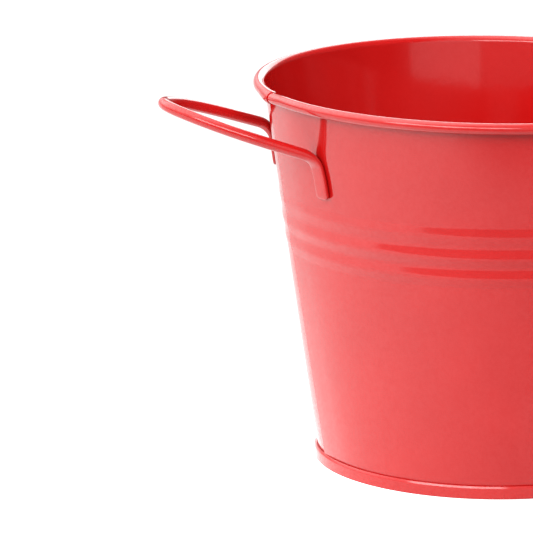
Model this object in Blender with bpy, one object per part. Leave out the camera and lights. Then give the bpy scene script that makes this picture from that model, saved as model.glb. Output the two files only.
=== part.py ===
"""Small painted sheet-metal sand bucket with two fixed wire handles.

Four separate pieces: the rolled wall sheet, the seamed base pan and two bent wire handles.
Metres, +Z up. The origin is on the floor, under the centre of the bucket. Handles lie on -X and +X.
"""
import math

import bmesh
import bpy
from mathutils import Vector

# Sheet and wall, outer surfaces
SHEET = 0.0005
RIM_RADIUS = 0.0850
CURL_RADIUS = 0.00193
CURL_HEIGHT = 0.1352
WALL_TOP_RADIUS = 0.08125
WALL_BOTTOM_RADIUS = 0.06146
TOP_BLEND = 0.0035
CURL_START_DEG = 180.0
CURL_END_DEG = -120.0
CURL_STEPS = 10

# Three raised beads rolled into the wall
BEAD_HEIGHTS = (0.0808, 0.0881, 0.0958)
BEAD_HALF_WIDTH = 0.0036
BEAD_RISE = 0.0006

# Base pan: a recessed disc whose edge folds around the bottom of the wall
SEAM_RADIUS = 0.0625
SEAM_HEIGHT = 0.0047
SEAM_ROUND = 0.0003
PAN_HEIGHT = 0.0055
GAP = 0.0003

# Handles: round wire with its two ends pressed flat against the wall
WIRE_RADIUS = 0.0020
FOOT_HALF_WIDTH = 0.0030
FOOT_HALF_THICKNESS = 0.0009
FOOT_LENGTH = 0.0145
FOOT_CORNER = 0.0010
FOOT_END_ROUND = 0.0003
FOOT_SPLAY = 0.0017
CORNER_ANGLE_DEG = 22.2
CORNER_HEIGHT = 0.1178
BEND_RADIUS = 0.0075
LOOP_TILT_DEG = 18.2
LEG_TAPER_DEG = 10.6
LEG_LENGTH = 0.0175
SHOULDER_RADIUS = 0.0437
TIP_RADIUS = 0.0146

# Facets of the plain solids
AROUND = 60
WIRE_SIDES = 12
BEND_STEPS = 6
SHOULDER_STEPS = 5
TIP_STEPS = 4

PAINT_RED = (0.72, 0.04, 0.035, 1.0)
PAINT_ROUGHNESS = 0.18


def clear_scene():
    for item in list(bpy.data.objects):
        bpy.data.objects.remove(item, do_unlink=True)


def paint(name):
    material = bpy.data.materials.new(name)
    material.use_nodes = True
    shader = material.node_tree.nodes["Principled BSDF"]
    shader.inputs["Base Color"].default_value = PAINT_RED
    shader.inputs["Roughness"].default_value = PAINT_ROUGHNESS
    shader.inputs["Metallic"].default_value = 0.0
    return material


def add_object(name, mesh):
    mesh.materials.append(paint(name))
    item = bpy.data.objects.new(name, mesh)
    bpy.context.scene.collection.objects.link(item)
    return item


def wall_slope():
    return (WALL_TOP_RADIUS - WALL_BOTTOM_RADIUS) / (CURL_HEIGHT - SEAM_HEIGHT)


def wall_radius(height):
    """Outer radius of the plain cone at a height, without the beads."""
    return WALL_BOTTOM_RADIUS + wall_slope() * (height - SEAM_HEIGHT)


def bead_rise(height):
    """How far the beads push the sheet outward at a height."""
    rise = 0.0
    for centre in BEAD_HEIGHTS:
        offset = (height - centre) / BEAD_HALF_WIDTH
        if abs(offset) < 1.0:
            rise += BEAD_RISE * 0.5 * (1.0 + math.cos(math.pi * offset))
    return rise


def wall_heights():
    """Heights of the profile's points, from the bottom edge to just under the curl."""
    heights = [GAP + SHEET + GAP]
    for centre in BEAD_HEIGHTS:
        heights += [centre - BEAD_HALF_WIDTH, centre, centre + BEAD_HALF_WIDTH]
    heights.append(CURL_HEIGHT - TOP_BLEND)
    return heights


def curl_points(radius):
    """An arc of the rolled edge, from its inner side over the top to its hidden end below."""
    centre = RIM_RADIUS - CURL_RADIUS
    points = []
    for step in range(CURL_STEPS + 1):
        share = step / CURL_STEPS
        angle = math.radians(CURL_START_DEG + (CURL_END_DEG - CURL_START_DEG) * share)
        points.append((centre + radius * math.cos(angle), CURL_HEIGHT + radius * math.sin(angle)))
    return points


def wall_profile():
    """Closed section of the sheet: down the side that faces out, back up the side that faces in."""
    inner_face = [(wall_radius(z) + bead_rise(z) - SHEET, z) for z in wall_heights()]
    outer_face = [(wall_radius(z) + bead_rise(z), z) for z in wall_heights()]
    curl_outside = curl_points(CURL_RADIUS)
    curl_inside = curl_points(CURL_RADIUS - SHEET)
    return inner_face + curl_outside + curl_inside[::-1] + outer_face[::-1]


def pan_profile():
    """Section of the base pan, from its upper face at the axis around to its lower face."""
    wall_foot = wall_radius(0.0)
    leg_out = wall_foot - SHEET - GAP
    leg_top = leg_out + wall_slope() * PAN_HEIGHT
    fold_in = wall_foot + GAP
    fold_top = wall_radius(SEAM_HEIGHT) + GAP
    return [
        (0.0, PAN_HEIGHT + SHEET),
        (leg_top - SEAM_ROUND, PAN_HEIGHT + SHEET),
        (leg_top, PAN_HEIGHT + SHEET - SEAM_ROUND),
        (leg_out, SHEET),
        (fold_in, SHEET),
        (fold_top, SEAM_HEIGHT - SEAM_ROUND),
        (fold_top + SEAM_ROUND * 0.5, SEAM_HEIGHT),
        (SEAM_RADIUS - SEAM_ROUND, SEAM_HEIGHT),
        (SEAM_RADIUS, SEAM_HEIGHT - SEAM_ROUND),
        (SEAM_RADIUS, SEAM_ROUND),
        (SEAM_RADIUS - SEAM_ROUND, 0.0),
        (leg_out - SHEET + SEAM_ROUND, 0.0),
        (leg_out - SHEET, SEAM_ROUND),
        (leg_top - SHEET, PAN_HEIGHT - SEAM_ROUND),
        (leg_top - SHEET - SEAM_ROUND, PAN_HEIGHT),
        (0.0, PAN_HEIGHT),
    ]


def turned(name, points, closed):
    """Turn a section about the Z axis."""
    mesh = bpy.data.meshes.new(name)
    count = len(points)
    edges = [(i, i + 1) for i in range(count - 1)]
    if closed:
        edges.append((count - 1, 0))
    mesh.from_pydata([(x, 0.0, z) for x, z in points], edges, [])
    item = add_object(name, mesh)
    screw = item.modifiers.new("turn", "SCREW")
    screw.axis = "Z"
    screw.angle = math.tau
    screw.steps = AROUND
    screw.render_steps = AROUND
    screw.use_merge_vertices = True
    screw.merge_threshold = 0.00001
    screw.use_smooth_shade = True
    return item


def fillet(before, corner, after, radius, steps):
    """Points of an arc that rounds a corner between two straight runs."""
    to_before = (before - corner).normalized()
    to_after = (after - corner).normalized()
    half = to_before.angle(to_after) / 2.0
    reach = radius / math.tan(half)
    middle = (to_before + to_after).normalized()
    centre = corner + middle * (radius / math.sin(half))
    start = corner + to_before * reach - centre
    end = corner + to_after * reach - centre
    turn = start.angle(end)
    points = []
    for step in range(steps + 1):
        share = step / steps
        near = math.sin((1.0 - share) * turn) / math.sin(turn)
        far = math.sin(share * turn) / math.sin(turn)
        points.append(centre + start * near + end * far)
    return points


def loop_half():
    """Half of the flat loop, from the wall to the tip: (sideways, outward) in its own plane."""
    taper = math.radians(LEG_TAPER_DEG)
    side = foot_point(0.0).y
    leg_end = (side - LEG_LENGTH * math.sin(taper), LEG_LENGTH * math.cos(taper))
    corner = (leg_end[0] - SHOULDER_RADIUS * math.cos(taper), leg_end[1] - SHOULDER_RADIUS * math.sin(taper))
    blend = math.acos(corner[0] / (TIP_RADIUS - SHOULDER_RADIUS))
    tip_out = corner[1] + (SHOULDER_RADIUS - TIP_RADIUS) * math.sin(blend)
    points = []
    for step in range(SHOULDER_STEPS + 1):
        angle = taper + (blend - taper) * step / SHOULDER_STEPS
        points.append((corner[0] + SHOULDER_RADIUS * math.cos(angle), corner[1] + SHOULDER_RADIUS * math.sin(angle)))
    for step in range(1, TIP_STEPS + 1):
        angle = blend + (math.pi / 2.0 - blend) * step / TIP_STEPS
        points.append((TIP_RADIUS * math.cos(angle), tip_out + TIP_RADIUS * math.sin(angle)))
    return points


def foot_point(drop):
    """Centre line of a +X handle's foot, at a distance below the bend's corner. It follows the wall."""
    sideways = FOOT_SPLAY * (1.0 - (1.0 - drop / FOOT_LENGTH) ** 2)
    stand_off = (GAP + FOOT_HALF_THICKNESS) * math.hypot(1.0, wall_slope())
    radius = wall_radius(CORNER_HEIGHT - drop) + stand_off
    angle = math.radians(CORNER_ANGLE_DEG) + sideways / radius
    return Vector((radius * math.cos(angle), radius * math.sin(angle), CORNER_HEIGHT - drop))


def foot_side():
    """Direction around the wall at the foot's lower end."""
    end = foot_point(FOOT_LENGTH)
    return Vector((-end.y, end.x, 0.0)).normalized()


def half_path():
    """Centre line of half a +X handle with its section's half width and half thickness."""
    corner = foot_point(0.0)
    tilt = math.radians(LOOP_TILT_DEG)
    out = Vector((math.cos(tilt), 0.0, math.sin(tilt)))
    base = Vector((corner.x, 0.0, corner.z))
    loop = [base + Vector((0.0, side, 0.0)) + out * reach for side, reach in loop_half()]
    bend = fillet(foot_point(BEND_RADIUS), corner, loop[0], BEND_RADIUS, BEND_STEPS)
    end_width = FOOT_HALF_WIDTH - FOOT_CORNER
    end_thickness = FOOT_HALF_THICKNESS - FOOT_END_ROUND
    path = [
        (foot_point(FOOT_LENGTH), end_width, end_thickness),
        (foot_point(FOOT_LENGTH - FOOT_END_ROUND), FOOT_HALF_WIDTH - FOOT_END_ROUND, FOOT_HALF_THICKNESS),
        (foot_point(FOOT_LENGTH - FOOT_CORNER), FOOT_HALF_WIDTH, FOOT_HALF_THICKNESS),
        (foot_point(BEND_RADIUS), FOOT_HALF_WIDTH, FOOT_HALF_THICKNESS),
    ]
    for step, point in enumerate(bend):
        share = (step / BEND_STEPS) ** 2
        width = FOOT_HALF_WIDTH + (WIRE_RADIUS - FOOT_HALF_WIDTH) * share
        thickness = FOOT_HALF_THICKNESS + (WIRE_RADIUS - FOOT_HALF_THICKNESS) * share
        path.append((point, width, thickness))
    path += [(point, WIRE_RADIUS, WIRE_RADIUS) for point in loop]
    return path


def whole_path():
    """Both halves joined at the tip."""
    first = half_path()
    mirrored = [(Vector((p.x, -p.y, p.z)), width, thick) for p, width, thick in first[:-1]]
    return first + mirrored[::-1]


def section_ring(bm, centre, side, face, width, thickness):
    verts = []
    for step in range(WIRE_SIDES):
        angle = math.tau * step / WIRE_SIDES
        offset = side * (width * math.cos(angle)) + face * (thickness * math.sin(angle))
        verts.append(bm.verts.new(centre + offset))
    return verts


def swept_mesh(name, path, first_side):
    """Sweep the changing section along the path, turning it as little as possible."""
    bm = bmesh.new()
    points = [item[0] for item in path]
    side = first_side.copy()
    rings = []
    for index, (point, width, thickness) in enumerate(path):
        before = points[max(index - 1, 0)]
        after = points[min(index + 1, len(points) - 1)]
        along = ((after - point).normalized() + (point - before).normalized()).normalized()
        side = (side - along * side.dot(along)).normalized()
        rings.append(section_ring(bm, point, side, along.cross(side), width, thickness))
    for low, high in zip(rings, rings[1:]):
        for step in range(WIRE_SIDES):
            following = (step + 1) % WIRE_SIDES
            bm.faces.new((low[step], low[following], high[following], high[step]))
    bm.faces.new(rings[0][::-1])
    bm.faces.new(rings[-1])
    bmesh.ops.recalc_face_normals(bm, faces=bm.faces)
    mesh = bpy.data.meshes.new(name)
    bm.to_mesh(mesh)
    bm.free()
    mesh.shade_smooth()
    return mesh


def make_handle(name, turn):
    item = add_object(name, swept_mesh(name, whole_path(), foot_side()))
    item.rotation_euler = (0.0, 0.0, turn)
    return item


def main():
    clear_scene()
    turned("wall_sheet", wall_profile(), True)
    turned("base_pan", pan_profile(), False)
    make_handle("right_handle", 0.0)
    make_handle("left_handle", math.pi)


main()
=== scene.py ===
"""Looks of the red sheet-metal sand bucket: enamelled sheet, seamed base and two wire handles."""
import math

import bmesh
import bpy
from mathutils import Matrix, Quaternion, Vector


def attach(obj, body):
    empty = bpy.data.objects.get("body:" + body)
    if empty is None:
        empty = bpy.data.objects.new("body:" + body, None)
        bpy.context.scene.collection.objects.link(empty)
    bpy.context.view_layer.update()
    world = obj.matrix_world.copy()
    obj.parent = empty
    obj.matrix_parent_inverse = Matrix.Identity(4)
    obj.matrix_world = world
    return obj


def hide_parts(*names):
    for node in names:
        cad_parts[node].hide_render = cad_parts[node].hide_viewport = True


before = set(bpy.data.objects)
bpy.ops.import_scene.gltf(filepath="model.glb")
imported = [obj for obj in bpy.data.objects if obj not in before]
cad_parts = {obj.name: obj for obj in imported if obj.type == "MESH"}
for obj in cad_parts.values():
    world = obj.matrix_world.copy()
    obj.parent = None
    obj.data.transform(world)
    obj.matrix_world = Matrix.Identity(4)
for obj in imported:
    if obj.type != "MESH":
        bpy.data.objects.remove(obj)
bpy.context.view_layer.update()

# Sheet and wall, outer surfaces. Lengths are metres here and below.
SHEET = 0.0005
RIM_RADIUS = 0.0850
CURL_RADIUS = 0.00193
CURL_HEIGHT = 0.1352
CURL_START_DEG = 188.6
CURL_SETTLE_DEG = 70.0
CURL_END_DEG = -148.0
CURL_STEPS = 44
WALL_TOP_RADIUS = 0.08125
WALL_BOTTOM_RADIUS = 0.06146
WALL_FOOT = 0.0011
WALL_ROW = 0.0030
SEAM_HEIGHT = 0.0047
AROUND = 360
WALL_SHARP_DEG = 40.0
SHARP_DEG = 50.0

# Beads, from the lowest to the highest; they fade toward the side seam
BEAD_HEIGHTS = (0.0808, 0.0881, 0.0958)
BEAD_RISES = (0.00050, 0.00062, 0.00034)
BEAD_HALF_WIDTH = 0.0036
BEAD_ROUND = 0.22
BEAD_FADE = 0.5
BEAD_FADE_DEG = 42.0
BEAD_ROWS = 24

# Lapped side seam: the outer layer's edge, and how the other layer runs under it
LAP_EDGE_DEG = 177.0
LAP_LEAN_DEG = 5.3
LAP_LEAN_TOP = 0.103
LEAN_HOLD_DEG = 8.0
LEAN_FADE_DEG = 30.0
LAP_WIDTH = 0.0108
LAP_EASE = 0.0120
LAP_GAP = 0.00001
LAP_POWER = 1.5
LAP_STEPS = 20
UNDER_EASE = 0.004
CURL_BLEND = 0.008
EDGE_SOFT = 0.00030
EDGE_REACH = 0.0009
END_SOFT = 0.00025
END_REACH = 0.0016
EDGE_STEP_DEG = 0.15
EDGE_STEPS = 8
NEAR_SEAM_DEG = 14.0
NEAR_SEAM_STEPS = 32

# Base pan, and the fold of its edge around the wall
PAN_RADIUS = 0.0625
PAN_HEIGHT = 0.0055
PAN_FLAT_RADIUS = 0.030
PAN_BEND = 0.0006
PAN_BEND_BELOW = 0.0009
FOLD_GAP = 0.00003
FOLD_ROUND = 0.0002
HEEL_ROUND = 0.0005
SHOULDER_ROUND = 0.0010
SHOULDER_LIP = 0.00042
SHOULDER_IN = 0.00006
SHOULDER_DROP = 0.0009
CORNER_STEPS = 6
CORNER_SHARE = 0.85

# Handles
WIRE_RADIUS = 0.0020
WIRE_SIDES = 32
FOOT_HALF_WIDTH = 0.0030
FOOT_HALF_THICKNESS = 0.0009
FOOT_LENGTH = 0.0145
FOOT_SPLAY = 0.0017
FOOT_STEPS = 8
FOOT_SQUARENESS = 0.45
FOOT_END_ROUND = 0.0015
FOOT_END_THIN = 0.00040
CORNER_ANGLE_DEG = 22.2
CORNER_HEIGHT = 0.1178
CONTACT_GAP = 0.00006
CAD_GAP = 0.0003
BEND_RADIUS = 0.0075
BEND_STEPS = 16
BEND_NEAR = 0.86
LOOP_TILT_DEG = 18.2
LEG_TAPER_DEG = 10.6
LEG_LENGTH = 0.01748
LEG_STEPS = 8
LOOP_SHOULDER_RADIUS = 0.0437
TIP_RADIUS = 0.0146
LOOP_STEPS = 14

# Enamel: a matt red under a clear gloss. Noise scales are features in a metre.
ENAMEL_RED = (0.30, 0.0038, 0.0035)
DEEP_RED = (0.93, 0.8, 0.8)
LIGHT_RED = (1.05, 1.25, 1.25)
WORN_RED = (1.1, 3.0, 3.0)
COAT_IOR = 1.5
COAT_ROUGHNESS = 0.09
COAT_WEIGHTS = (0.82, 1.0)
ROUGHNESSES = (0.40, 0.52)
DRIFT_SCALE = 42.0
GRAIN_SCALE = 520.0
PEEL_SCALE = 380.0
MOTTLE_SCALE = 1050.0
MOTTLE_SHARE = 0.4
MIDDLE_RANGE = (0.3, 0.7)
MOTTLE_RANGE = (0.40, 0.60)
WORN_RANGE = (0.56, 0.72)
WORN_MOST = 0.25
SHEET_PEEL = 0.000010
WIRE_PEEL = 0.000012
DRIFT_PEEL = 1.6
SEED_STEP = (0.37, 0.73, 0.19)

# Studio: how bright the room is with height, then soft round lights, each as the azimuth and
# elevation of its centre, its half angle, the width of its soft edge (degrees) and its level
ROOM_RISE = (0.0, 0.30)
ROOM_LEVELS = (0.20, 1.15)
DARK_SIDE = (348.0, 25.0, 42.0, 18.0, -0.85)
LAMPS = (
    (278.0, 4.0, 17.0, 3.0, 0.6),
    (102.0, 3.0, 18.0, 6.0, 0.7),
    (168.0, 14.0, 25.0, 40.0, 0.8),
    (140.0, 52.0, 18.0, 34.0, 2.8),
    (63.0, 18.0, 13.0, 4.0, 3.2),
    (209.0, 28.0, 7.0, 6.0, 8.0),
    (231.0, 28.0, 7.0, 6.0, 8.5),
    (253.0, 28.0, 7.0, 6.0, 7.0),
)
FILL_AZIMUTH_DEG = 285.0
FILL_ELEVATION_DEG = 45.0
FILL_DISTANCE = 2.0
FILL_SIZE = 1.3
FILL_ENERGY = 42.0

# Floor: its glow, which is painted light: brighter on the lit side, even close by, with painted
# shade in front, on the left and far behind
FLOOR_HALF_SIZE = 3.0
FLOOR_DROP = 0.0002
FLOOR_GREY = 0.07
FLOOR_ROUGHNESS = 0.9
LIT_SIDE_DEG = 185.0
LIT_SIDE_POWER = 3.0
LIT_LEVELS = (0.96, 2.50)
NEAR_RING = (0.125, 0.165)
NEAR_LEVEL = 1.32
FRONT_DEG = 262.0
FRONT_EDGE = (0.27, 0.33)
FRONT_LEVEL = 0.40
LEFT_DEG = 105.0
LEFT_SPREAD = (0.55, 0.85)
LEFT_REACH = (0.17, 0.30)
LEFT_FALL = -0.11
REAR_DEG = 35.0
REAR_SPREAD = (0.83, 0.93)
REAR_REACH = (0.70, 0.95)
REAR_FALL = -0.85

# Camera: angles in radians where the name doesn't say degrees
CAMERA_DISTANCE = 1.7977
CAMERA_ELEVATION = 0.262829
CAMERA_AZIMUTH_DEG = 252.32
CAMERA_YAW = 0.0449167
CAMERA_PITCH = 0.0364965
CAMERA_ROLL = -0.0177587
CAMERA_CLIP = 0.05
LENS_MM = 337.71
SENSOR_MM = 36.0


def wall_slope():
    return (WALL_TOP_RADIUS - WALL_BOTTOM_RADIUS) / (CURL_HEIGHT - SEAM_HEIGHT)


def wall_radius(height):
    return WALL_BOTTOM_RADIUS + wall_slope() * (height - SEAM_HEIGHT)


def smooth(value):
    value = min(max(value, 0.0), 1.0)
    return value * value * (3.0 - 2.0 * value)


def bead_rise(height):
    """Rolled beads: straight flanks, rounded at the crest and where they leave the wall."""
    rise = 0.0
    for centre, full in zip(BEAD_HEIGHTS, BEAD_RISES):
        share = 1.0 - abs(height - centre) / BEAD_HALF_WIDTH
        bend = full / (1.0 - BEAD_ROUND) / (2.0 * BEAD_ROUND)
        if share > 1.0 - BEAD_ROUND:
            rise += full - bend * (1.0 - share) ** 2
        elif share >= BEAD_ROUND:
            rise += full * (share - BEAD_ROUND / 2.0) / (1.0 - BEAD_ROUND)
        elif share > 0.0:
            rise += bend * share ** 2
    return rise


def wall_heights():
    """Heights of the wall's rows, closer together on the beads."""
    marks = [WALL_FOOT]
    for centre in BEAD_HEIGHTS:
        marks += [centre - BEAD_HALF_WIDTH, centre + BEAD_HALF_WIDTH]
    marks.append(CURL_HEIGHT)
    heights = [marks[0]]
    for index, (low, high) in enumerate(zip(marks, marks[1:])):
        is_bead = index % 2 == 1
        count = BEAD_ROWS if is_bead else max(2, round((high - low) / WALL_ROW))
        heights += [low + (high - low) * step / count for step in range(1, count + 1)]
    return heights


def wall_line():
    """Inner face of the sheet from its foot to the end of the rolled edge: (radius, height)."""
    centre = RIM_RADIUS - CURL_RADIUS
    slack = centre - (wall_radius(CURL_HEIGHT) - SHEET) - CURL_RADIUS
    points = [(wall_radius(z) + bead_rise(z) - SHEET, z) for z in wall_heights()]
    for step in range(1, CURL_STEPS + 1):
        turn = (CURL_START_DEG - CURL_END_DEG) * step / CURL_STEPS
        angle = math.radians(CURL_START_DEG - turn)
        radius = CURL_RADIUS + slack * (1.0 - smooth(turn / CURL_SETTLE_DEG))
        points.append((centre + radius * math.cos(angle), CURL_HEIGHT + radius * math.sin(angle)))
    return points


def line_normals(points):
    """Unit normals of a (radius, height) line, toward the side where the sheet has its thickness."""
    normals = []
    for index in range(len(points)):
        before = points[max(index - 1, 0)]
        after = points[min(index + 1, len(points) - 1)]
        run = Vector((after[0] - before[0], after[1] - before[1])).normalized()
        normals.append(Vector((run.y, -run.x)))
    return normals


def column_angles():
    """Degrees past the outer layer's edge, finer near it; past 360 the sheet runs underneath."""
    angles = [EDGE_STEP_DEG * step for step in range(EDGE_STEPS)]
    first = EDGE_STEP_DEG * EDGE_STEPS
    span = NEAR_SEAM_DEG - first
    angles += [first + span * step / NEAR_SEAM_STEPS for step in range(NEAR_SEAM_STEPS)]
    rest = 360.0 - NEAR_SEAM_DEG
    coarse = int(AROUND * rest / 360.0) - 1
    angles += [NEAR_SEAM_DEG + rest * step / coarse for step in range(coarse)]
    lap = math.degrees(LAP_WIDTH / WALL_TOP_RADIUS)
    return angles + [360.0 + lap * step / LAP_STEPS for step in range(LAP_STEPS + 1)]


def from_edge(past):
    """Degrees from the outer layer's edge, the shorter way around."""
    return min(past, abs(past - 360.0))


def lap_offset(arc):
    """Shift of the outer layer at a distance from its edge, away from the layer under it."""
    share = arc / LAP_EASE
    if share >= 1.0:
        return 0.0
    return (SHEET + LAP_GAP) * (1.0 - share) ** LAP_POWER


def edge_round(arc):
    """How far the enamel rounds off the outer layer's edge."""
    return EDGE_SOFT * (1.0 - smooth(arc / EDGE_REACH))


def sheet_shift(past, radius, is_inner_face):
    """How far the sheet moves along its normal so that its two ends lap."""
    if past <= 180.0:
        arc = math.radians(past) * radius
        return lap_offset(arc) if is_inner_face else lap_offset(arc) - edge_round(arc)
    under = math.radians(past - 360.0) * radius
    shift = -LAP_GAP * 2.0 * smooth((under + UNDER_EASE) / UNDER_EASE)
    if under > 0.0:
        shift += lap_offset(under) - SHEET - LAP_GAP
    if is_inner_face:
        left = LAP_WIDTH * radius / WALL_TOP_RADIUS - under
        shift += END_SOFT * (1.0 - smooth(left / END_REACH))
    return shift


def seam_lean(past, height):
    """How many degrees the side seam leans away toward its foot."""
    lean = LAP_LEAN_DEG * max(0.0, 1.0 - height / LAP_LEAN_TOP)
    return lean * (1.0 - smooth((from_edge(past) - LEAN_HOLD_DEG) / LEAN_FADE_DEG))


def curl_drop(past, height):
    """How far the rolled edge sinks where it laps, so that its top stays level."""
    arc = math.radians(past if past < 180.0 else past - 360.0) * RIM_RADIUS
    under_end = LAP_WIDTH * RIM_RADIUS / WALL_TOP_RADIUS
    if arc <= 0.0:
        raised = 0.0
    elif arc <= under_end:
        raised = SHEET + LAP_GAP - lap_offset(arc)
    else:
        raised = (SHEET + LAP_GAP) * smooth(1.0 - (arc - under_end) / LAP_EASE)
    return (raised + 2.0 * LAP_GAP) * smooth(1.0 - (CURL_HEIGHT - height) / CURL_BLEND)


def sheet_point(past, radius, height, normal, side):
    """A point of the wall; side is its depth in the sheet, 0 on the inner face."""
    shift = side + sheet_shift(past, radius, side == 0.0)
    angle = math.radians(LAP_EDGE_DEG + past + seam_lean(past, height))
    fade = (1.0 - BEAD_FADE) * (1.0 - smooth(from_edge(past) / BEAD_FADE_DEG))
    out = radius - fade * bead_rise(height) + normal.x * shift
    up = height + normal.y * shift - curl_drop(past, height)
    return (out * math.cos(angle), out * math.sin(angle), up)


def wall_mesh():
    """One sheet rolled round to lap over its own end, closed along its edges."""
    line = wall_line()
    normals = line_normals(line)
    count = len(line)
    verts = []
    columns = []
    for past in column_angles():
        columns.append(range(len(verts), len(verts) + 2 * count))
        for side in (0.0, SHEET):
            for (radius, height), normal in zip(line, normals):
                verts.append(sheet_point(past, radius, height, normal, side))
    faces = []
    ring = list(range(count)) + list(range(2 * count - 1, count - 1, -1))
    for low, high in zip(columns, columns[1:]):
        for here, following in zip(ring, ring[1:] + ring[:1]):
            faces.append((low[here], high[here], high[following], low[following]))
    for column, flip in ((columns[0], False), (columns[-1], True)):
        for index in range(count - 1):
            outer = count + index
            face = (column[index], column[index + 1], column[outer + 1], column[outer])
            faces.append(face[::-1] if flip else face)
    return build_mesh("enamel_wall", verts, faces)


def build_mesh(name, verts, faces):
    mesh = bpy.data.meshes.new(name)
    mesh.from_pydata(verts, [], faces)
    bm = bmesh.new()
    bm.from_mesh(mesh)
    bmesh.ops.recalc_face_normals(bm, faces=bm.faces)
    bm.to_mesh(mesh)
    bm.free()
    mesh.shade_smooth()
    return mesh


def sharpen(mesh, degrees):
    """Keep edges sharper than an angle from being shaded smooth."""
    mesh.set_sharp_from_angle(angle=math.radians(degrees))


def arc_points(corner, to_before, to_after, reach, steps):
    """Arc that touches both sides of a corner at a distance from it."""
    half = to_before.angle(to_after) / 2.0
    middle = (to_before + to_after).normalized()
    centre = corner + middle * (reach / math.cos(half))
    start = corner + to_before * reach - centre
    end = corner + to_after * reach - centre
    turn = start.angle(end)
    points = []
    for step in range(steps + 1):
        share = step / steps
        near = math.sin((1.0 - share) * turn) / math.sin(turn)
        far = math.sin(share * turn) / math.sin(turn)
        points.append(centre + start * near + end * far)
    return points


def rounded(corners, steps):
    """A closed polygon of (corner, radius) pairs with each corner replaced by an arc."""
    points = []
    total = len(corners)
    for index, (corner, radius) in enumerate(corners):
        here = Vector(corner)
        if radius <= 0.0:
            points.append(here)
            continue
        before = Vector(corners[index - 1][0]) - here
        after = Vector(corners[(index + 1) % total][0]) - here
        wanted = radius / math.tan(before.angle(after) / 2.0)
        reach = min(wanted, before.length * CORNER_SHARE, after.length * CORNER_SHARE)
        points += arc_points(here, before.normalized(), after.normalized(), reach, steps)
    return points


def pan_section():
    """Half section of the pan, from its flat middle out around the fold and back beneath."""
    foot = wall_radius(0.0)
    leg_out = foot - SHEET - FOLD_GAP
    leg_top = leg_out + wall_slope() * PAN_HEIGHT
    fold_top = wall_radius(SEAM_HEIGHT) + FOLD_GAP
    corners = [
        ((PAN_FLAT_RADIUS, PAN_HEIGHT + SHEET), 0.0),
        ((leg_top, PAN_HEIGHT + SHEET), PAN_BEND),
        ((leg_out, SHEET), FOLD_ROUND),
        ((foot + FOLD_GAP, SHEET), FOLD_ROUND),
        ((fold_top, SEAM_HEIGHT), FOLD_ROUND / 2.0),
        ((PAN_RADIUS - SHOULDER_LIP, SEAM_HEIGHT), FOLD_ROUND),
        ((PAN_RADIUS - SHOULDER_IN, SEAM_HEIGHT - SHOULDER_DROP), SHOULDER_ROUND),
        ((PAN_RADIUS, 0.0), HEEL_ROUND),
        ((leg_out - SHEET, 0.0), FOLD_ROUND * 2.0),
        ((leg_top - SHEET, PAN_HEIGHT), PAN_BEND_BELOW),
        ((PAN_FLAT_RADIUS, PAN_HEIGHT), 0.0),
    ]
    return rounded(corners, CORNER_STEPS)


def pan_mesh():
    section = pan_section()
    verts = []
    rings = []
    for step in range(AROUND):
        angle = math.tau * step / AROUND
        rings.append(range(len(verts), len(verts) + len(section)))
        verts += [(r * math.cos(angle), r * math.sin(angle), z) for r, z in section]
    faces = []
    top = len(verts)
    bottom = top + 1
    verts.append((0.0, 0.0, PAN_HEIGHT + SHEET))
    verts.append((0.0, 0.0, PAN_HEIGHT))
    for low, high in zip(rings, rings[1:] + rings[:1]):
        for here in range(len(section) - 1):
            faces.append((low[here], high[here], high[here + 1], low[here + 1]))
        faces.append((low[0], high[0], top))
        faces.append((low[-1], bottom, high[-1]))
    return build_mesh("enamel_base", verts, faces)


def foot_point(drop, gap):
    """Centre line of a +X handle's foot, at a distance below the bend's corner."""
    sideways = FOOT_SPLAY * (1.0 - (1.0 - drop / FOOT_LENGTH) ** 2)
    stand_off = (gap + FOOT_HALF_THICKNESS) * math.hypot(1.0, wall_slope())
    radius = wall_radius(CORNER_HEIGHT - drop) + stand_off
    angle = math.radians(CORNER_ANGLE_DEG) + sideways / radius
    return Vector((radius * math.cos(angle), radius * math.sin(angle), CORNER_HEIGHT - drop))


def loop_half():
    """Half of the loop in its own plane, from a leg to the tip: (sideways, outward)."""
    taper = math.radians(LEG_TAPER_DEG)
    side = foot_point(0.0, CAD_GAP).y
    leg_end = (side - LEG_LENGTH * math.sin(taper), LEG_LENGTH * math.cos(taper))
    centre_x = leg_end[0] - LOOP_SHOULDER_RADIUS * math.cos(taper)
    centre_y = leg_end[1] - LOOP_SHOULDER_RADIUS * math.sin(taper)
    blend = math.acos(centre_x / (TIP_RADIUS - LOOP_SHOULDER_RADIUS))
    tip_y = centre_y + (LOOP_SHOULDER_RADIUS - TIP_RADIUS) * math.sin(blend)
    points = []
    for step in range(LEG_STEPS // 2, LEG_STEPS):
        share = step / LEG_STEPS
        points.append((side + (leg_end[0] - side) * share, leg_end[1] * share))
    for step in range(LOOP_STEPS + 1):
        angle = taper + (blend - taper) * step / LOOP_STEPS
        x = centre_x + LOOP_SHOULDER_RADIUS * math.cos(angle)
        y = centre_y + LOOP_SHOULDER_RADIUS * math.sin(angle)
        points.append((x, y))
    for step in range(1, LOOP_STEPS + 1):
        angle = blend + (math.pi / 2.0 - blend) * step / LOOP_STEPS
        points.append((TIP_RADIUS * math.cos(angle), tip_y + TIP_RADIUS * math.sin(angle)))
    return points


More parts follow.
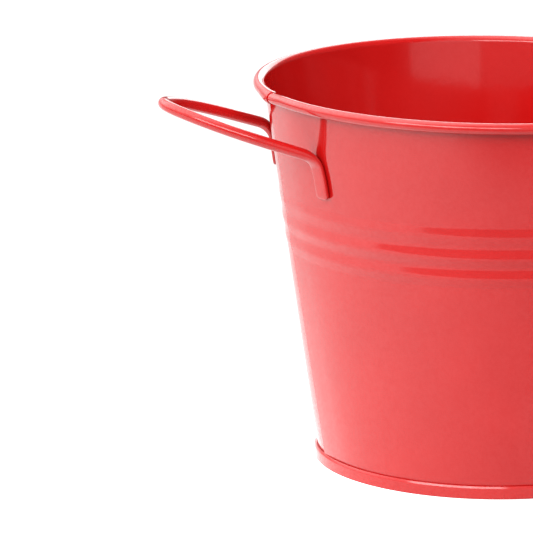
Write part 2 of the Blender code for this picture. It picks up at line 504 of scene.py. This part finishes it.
def foot_path():
    """The flattened foot from its rounded end up to the bend."""
    path = []
    for step in range(FOOT_STEPS + 1):
        turn = math.pi / 2.0 * step / FOOT_STEPS
        short = 1.0 - math.sin(turn)
        width = FOOT_HALF_WIDTH - FOOT_END_ROUND * short
        thickness = FOOT_HALF_THICKNESS - FOOT_END_THIN * short
        drop = FOOT_LENGTH - FOOT_END_ROUND * (1.0 - math.cos(turn))
        path.append((foot_point(drop, CONTACT_GAP), width, thickness, 1.0))
    low = FOOT_LENGTH - FOOT_END_ROUND
    for step in range(1, FOOT_STEPS + 1):
        drop = low + (BEND_RADIUS * BEND_NEAR - low) * step / FOOT_STEPS
        path.append((foot_point(drop, CONTACT_GAP), FOOT_HALF_WIDTH, FOOT_HALF_THICKNESS, 1.0))
    return path


def handle_half():
    """Half of a +X handle: (centre, half width, half thickness, squareness)."""
    corner = foot_point(0.0, CAD_GAP)
    tilt = math.radians(LOOP_TILT_DEG)
    out = Vector((math.cos(tilt), 0.0, math.sin(tilt)))
    base = Vector((corner.x, 0.0, corner.z))
    loop = [base + Vector((0.0, side, 0.0)) + out * reach for side, reach in loop_half()]
    to_foot = (foot_point(BEND_RADIUS, CAD_GAP) - corner).normalized()
    to_loop = (loop[0] - corner).normalized()
    reach = BEND_RADIUS / math.tan(to_foot.angle(to_loop) / 2.0)
    bend = arc_points(corner, to_foot, to_loop, reach, BEND_STEPS)
    inward = foot_point(0.0, CONTACT_GAP) - corner
    path = foot_path()
    for step, point in enumerate(bend):
        share = smooth(step / BEND_STEPS)
        width = FOOT_HALF_WIDTH + (WIRE_RADIUS - FOOT_HALF_WIDTH) * share
        thickness = FOOT_HALF_THICKNESS + (WIRE_RADIUS - FOOT_HALF_THICKNESS) * share
        path.append((point + inward * (1.0 - share), width, thickness, 1.0 - share))
    return path + [(point, WIRE_RADIUS, WIRE_RADIUS, 0.0) for point in loop]


def section_points(width, thickness, squareness):
    """A circle that turns into a flattened bar with rounded edges."""
    power = 1.0 - FOOT_SQUARENESS * squareness
    points = []
    for step in range(WIRE_SIDES):
        angle = math.tau * step / WIRE_SIDES
        c = math.cos(angle)
        s = math.sin(angle)
        x = math.copysign(abs(c) ** power, c)
        y = math.copysign(abs(s) ** power, s)
        points.append((width * x, thickness * y))
    return points


def handle_mesh(name):
    """A +X handle: one section swept from foot to foot without twisting."""
    half = handle_half()
    mirrored = [(Vector((p.x, -p.y, p.z)), w, t, q) for p, w, t, q in half[:-1]]
    path = half + mirrored[::-1]
    points = [item[0] for item in path]
    side = Vector((-points[0].y, points[0].x, 0.0)).normalized()
    verts = []
    rings = []
    for index, (point, width, thickness, squareness) in enumerate(path):
        before = points[max(index - 1, 0)]
        after = points[min(index + 1, len(points) - 1)]
        along = ((after - point).normalized() + (point - before).normalized()).normalized()
        side = (side - along * side.dot(along)).normalized()
        face = along.cross(side)
        rings.append(range(len(verts), len(verts) + WIRE_SIDES))
        for across, off in section_points(width, thickness, squareness):
            verts.append(point + side * across + face * off)
    faces = []
    for low, high in zip(rings, rings[1:]):
        for step in range(WIRE_SIDES):
            following = (step + 1) % WIRE_SIDES
            faces.append((low[step], low[following], high[following], high[step]))
    faces.append(tuple(rings[0][::-1]))
    faces.append(tuple(rings[-1]))
    return build_mesh(name, verts, faces)


def node(tree, kind, **values):
    item = tree.nodes.new(kind)
    for key, value in values.items():
        setattr(item, key, value)
    return item


def noise(tree, place, scale, detail):
    item = node(tree, "ShaderNodeTexNoise")
    item.inputs["Scale"].default_value = scale
    item.inputs["Detail"].default_value = detail
    tree.links.new(place, item.inputs["Vector"])
    return item


def remap(tree, value, start, end, kind="SMOOTHSTEP"):
    """Carry a value from the range start to the range end."""
    item = node(tree, "ShaderNodeMapRange", interpolation_type=kind)
    item.inputs["From Min"].default_value = start[0]
    item.inputs["From Max"].default_value = start[1]
    item.inputs["To Min"].default_value = end[0]
    item.inputs["To Max"].default_value = end[1]
    tree.links.new(value, item.inputs["Value"])
    return item.outputs["Result"]


def calculate(tree, operation, *values):
    """Result of a math node whose inputs are sockets or plain numbers."""
    item = node(tree, "ShaderNodeMath", operation=operation)
    for socket, value in zip(item.inputs, values):
        if isinstance(value, float):
            socket.default_value = value
        else:
            tree.links.new(value, socket)
    return item.outputs["Value"]


def tinted(shares):
    """The enamel's red with each channel multiplied, as a colour with alpha."""
    return tuple(red * share for red, share in zip(ENAMEL_RED, shares)) + (1.0,)


def enamel_colour(tree, drift, mottle):
    """Red that drifts and mottles a little, with thinner paint along the edges."""
    blend = node(tree, "ShaderNodeMix", data_type="FLOAT")
    blend.inputs["Factor"].default_value = MOTTLE_SHARE
    tree.links.new(drift, blend.inputs["A"])
    tree.links.new(mottle, blend.inputs["B"])
    colour = node(tree, "ShaderNodeValToRGB")
    low, high = colour.color_ramp.elements
    low.position, high.position = MIDDLE_RANGE
    low.color = tinted(DEEP_RED)
    high.color = tinted(LIGHT_RED)
    tree.links.new(blend.outputs["Result"], colour.inputs["Fac"])
    edges = node(tree, "ShaderNodeNewGeometry").outputs["Pointiness"]
    worn = node(tree, "ShaderNodeMix", data_type="RGBA")
    worn.inputs["B"].default_value = tinted(WORN_RED)
    tree.links.new(remap(tree, edges, WORN_RANGE, (0.0, WORN_MOST), "LINEAR"), worn.inputs["Factor"])
    tree.links.new(colour.outputs["Color"], worn.inputs["A"])
    return worn.outputs["Result"]


def bump(tree, height, distance, normal=None):
    item = node(tree, "ShaderNodeBump")
    item.inputs["Strength"].default_value = 1.0
    item.inputs["Distance"].default_value = distance
    tree.links.new(height, item.inputs["Height"])
    if normal:
        tree.links.new(normal, item.inputs["Normal"])
    return item.outputs["Normal"]


def enamel(name, seed, peel):
    """Glossy red enamel: orange peel, drifting and mottled colour and gloss, thin paint on edges."""
    material = bpy.data.materials.new(name)
    material.use_nodes = True
    tree = material.node_tree
    link = tree.links.new
    shader = tree.nodes["Principled BSDF"]
    shader.inputs["Metallic"].default_value = 0.0
    shader.inputs["Specular IOR Level"].default_value = 0.0
    shader.inputs["Coat IOR"].default_value = COAT_IOR
    shader.inputs["Coat Roughness"].default_value = COAT_ROUGHNESS
    shift = node(tree, "ShaderNodeMapping")
    shift.inputs["Location"].default_value = tuple(seed * step for step in SEED_STEP)
    link(node(tree, "ShaderNodeTexCoord").outputs["Object"], shift.inputs["Vector"])
    place = shift.outputs["Vector"]
    drift = noise(tree, place, DRIFT_SCALE, 4.0).outputs["Fac"]
    grain = noise(tree, place, GRAIN_SCALE, 3.0).outputs["Fac"]
    mottle = noise(tree, place, MOTTLE_SCALE, 2.0).outputs["Fac"]
    orange_peel = noise(tree, place, PEEL_SCALE, 1.5)
    orange_peel.inputs["Roughness"].default_value = 0.4
    link(enamel_colour(tree, drift, mottle), shader.inputs["Base Color"])
    link(remap(tree, mottle, MOTTLE_RANGE, COAT_WEIGHTS, "LINEAR"), shader.inputs["Coat Weight"])
    link(remap(tree, grain, MIDDLE_RANGE, ROUGHNESSES, "LINEAR"), shader.inputs["Roughness"])
    fine = bump(tree, orange_peel.outputs["Fac"], peel)
    broad = bump(tree, drift, peel * DRIFT_PEEL, fine)
    link(broad, shader.inputs["Normal"])
    link(broad, shader.inputs["Coat Normal"])
    return material


def add_piece(name, mesh, material, cad_node):
    mesh.materials.append(material)
    item = bpy.data.objects.new(name, mesh)
    bpy.context.scene.collection.objects.link(item)
    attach(item, "root")
    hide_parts(cad_node)
    return item


def direction(azimuth_deg, elevation_deg=0.0):
    azimuth = math.radians(azimuth_deg)
    elevation = math.radians(elevation_deg)
    flat = math.cos(elevation)
    return Vector((flat * math.cos(azimuth), flat * math.sin(azimuth), math.sin(elevation)))


def toward(tree, vector, aim):
    """How far a vector reaches in a direction."""
    item = node(tree, "ShaderNodeVectorMath", operation="DOT_PRODUCT")
    tree.links.new(vector, item.inputs[0])
    item.inputs[1].default_value = aim
    return item.outputs["Value"]


def unit_vector(tree, vector):
    item = node(tree, "ShaderNodeVectorMath", operation="NORMALIZE")
    tree.links.new(vector, item.inputs[0])
    return item.outputs["Vector"]


def lobe(tree, aim, azimuth_deg, elevation_deg, half_angle_deg, soft_deg, level):
    """A soft round light in a direction: level inside half_angle, fading out over soft."""
    facing = toward(tree, aim, direction(azimuth_deg, elevation_deg))
    outer = math.cos(math.radians(half_angle_deg + soft_deg))
    inner = math.cos(math.radians(half_angle_deg))
    return remap(tree, facing, (outer, inner), (0.0, level))


def studio_world():
    """Pale room, darker low down and on one side, with soft round lights."""
    world = bpy.data.worlds.new("studio")
    bpy.context.scene.world = world
    world.use_nodes = True
    tree = world.node_tree
    background = tree.nodes["Background"]
    aim = unit_vector(tree, node(tree, "ShaderNodeTexCoord").outputs["Generated"])
    split = node(tree, "ShaderNodeSeparateXYZ")
    tree.links.new(aim, split.inputs["Vector"])
    room = remap(tree, split.outputs["Z"], ROOM_RISE, ROOM_LEVELS)
    shade = calculate(tree, "ADD", lobe(tree, aim, *DARK_SIDE), 1.0)
    total = calculate(tree, "MULTIPLY", room, shade)
    for lamp in LAMPS:
        total = calculate(tree, "ADD", total, lobe(tree, aim, *lamp))
    tree.links.new(total, background.inputs["Strength"])
    background.inputs["Color"].default_value = (1.0, 1.0, 1.0, 1.0)


def fall_off(tree, way, distance, aim_deg, spread, reach, fall):
    """A factor from 1 down to 1 + fall on one side of the floor, with distance: painted shade on the
    floor's glow.
    """
    turned = remap(tree, toward(tree, way, direction(aim_deg)), spread, (0.0, 1.0))
    far = remap(tree, distance, reach, (0.0, fall))
    return calculate(tree, "MULTIPLY_ADD", turned, far, 1.0)


def painted_floor_light(tree):
    """How brightly the floor glows, as painted light: evenly close by, brighter on the lit side
    farther out, with painted shade in front, on the left and far behind.
    """
    place = node(tree, "ShaderNodeNewGeometry").outputs["Position"]
    way = unit_vector(tree, place)
    length = node(tree, "ShaderNodeVectorMath", operation="LENGTH")
    tree.links.new(place, length.inputs[0])
    distance = length.outputs["Value"]
    lit_side = toward(tree, way, direction(LIT_SIDE_DEG))
    share = remap(tree, lit_side, (-1.0, 1.0), (0.0, 1.0), "LINEAR")
    power = calculate(tree, "POWER", share, LIT_SIDE_POWER)
    glow = remap(tree, power, (0.0, 1.0), LIT_LEVELS, "LINEAR")
    front = toward(tree, place, direction(FRONT_DEG))
    ahead = remap(tree, front, FRONT_EDGE, (1.0, FRONT_LEVEL))
    left = fall_off(tree, way, distance, LEFT_DEG, LEFT_SPREAD, LEFT_REACH, LEFT_FALL)
    rear = fall_off(tree, way, distance, REAR_DEG, REAR_SPREAD, REAR_REACH, REAR_FALL)
    # painted shade on the floor's glow: dimmer in front, on the left and far behind
    painted_shade = calculate(tree, "MULTIPLY", calculate(tree, "MULTIPLY", ahead, left), rear)
    far = calculate(tree, "MULTIPLY", glow, painted_shade)
    near = remap(tree, distance, NEAR_RING, (NEAR_LEVEL, 0.0))
    return calculate(tree, "MAXIMUM", far, near)


def studio_floor():
    """Pale floor that glows gently so that it stays white; its glow is painted light and shade,
    brighter on the lit side and dimmer in front, on the left and far behind.
    """
    bm = bmesh.new()
    bmesh.ops.create_grid(bm, x_segments=1, y_segments=1, size=FLOOR_HALF_SIZE)
    mesh = bpy.data.meshes.new("floor")
    bm.to_mesh(mesh)
    bm.free()
    item = bpy.data.objects.new("floor", mesh)
    bpy.context.scene.collection.objects.link(item)
    item.location = (0.0, 0.0, -FLOOR_DROP)
    material = bpy.data.materials.new("floor_white")
    material.use_nodes = True
    tree = material.node_tree
    shader = tree.nodes["Principled BSDF"]
    shader.inputs["Base Color"].default_value = (FLOOR_GREY, FLOOR_GREY, FLOOR_GREY, 1.0)
    shader.inputs["Roughness"].default_value = FLOOR_ROUGHNESS
    shader.inputs["Specular IOR Level"].default_value = 0.0
    shader.inputs["Emission Color"].default_value = (1.0, 1.0, 1.0, 1.0)
    # the floor's emission strength is painted light and shade, and the floor is not a lamp
    tree.links.new(painted_floor_light(tree), shader.inputs["Emission Strength"])
    mesh.materials.append(material)


def add_fill():
    """Large soft light high on the right of the camera, kept out of the reflections."""
    lamp = bpy.data.lights.new("fill", "AREA")
    lamp.shape = "DISK"
    lamp.size = FILL_SIZE
    lamp.energy = FILL_ENERGY
    item = bpy.data.objects.new("fill", lamp)
    bpy.context.scene.collection.objects.link(item)
    place = FILL_DISTANCE * direction(FILL_AZIMUTH_DEG, FILL_ELEVATION_DEG)
    item.location = place
    item.rotation_euler = place.to_track_quat("Z", "Y").to_euler()
    item.visible_glossy = False


def add_camera():
    """Camera with a long lens, in front of the bucket and a little above it."""
    place = CAMERA_DISTANCE * direction(CAMERA_AZIMUTH_DEG, math.degrees(CAMERA_ELEVATION))
    ahead = -place.normalized()
    right = direction(CAMERA_AZIMUTH_DEG + 90.0)
    up = right.cross(ahead)
    turn = Quaternion(up, CAMERA_YAW)
    ahead, right = turn @ ahead, turn @ right
    turn = Quaternion(right, CAMERA_PITCH)
    ahead, up = turn @ ahead, turn @ up
    turn = Quaternion(ahead, CAMERA_ROLL)
    right, up = turn @ right, turn @ up
    camera = bpy.data.cameras.new("camera")
    camera.lens = LENS_MM
    camera.sensor_width = SENSOR_MM
    camera.clip_start = CAMERA_CLIP
    item = bpy.data.objects.new("camera", camera)
    bpy.context.scene.collection.objects.link(item)
    turned = Matrix((right, up, -ahead)).transposed().to_4x4()
    item.matrix_world = Matrix.Translation(place) @ turned
    bpy.context.scene.camera = item


def main():
    wall = wall_mesh()
    sharpen(wall, WALL_SHARP_DEG)
    base = pan_mesh()
    sharpen(base, SHARP_DEG)
    wall_paint = enamel("enamel_wall", 1.0, SHEET_PEEL)
    add_piece("enamel_wall", wall, wall_paint, "wall_sheet")
    base_paint = enamel("enamel_base", 2.0, SHEET_PEEL)
    add_piece("enamel_base", base, base_paint, "base_pan")
    handles = (("wire_right", "right_handle", 0.0), ("wire_left", "left_handle", math.pi))
    for name, cad_node, turn in handles:
        mesh = handle_mesh(name)
        mesh.transform(Matrix.Rotation(turn, 4, "Z"))
        sharpen(mesh, SHARP_DEG)
        add_piece(name, mesh, enamel(name, 3.0 + turn, WIRE_PEEL), cad_node)
    studio_world()
    studio_floor()
    add_fill()
    add_camera()
    bpy.context.scene.view_settings.view_transform = "Standard"


main()
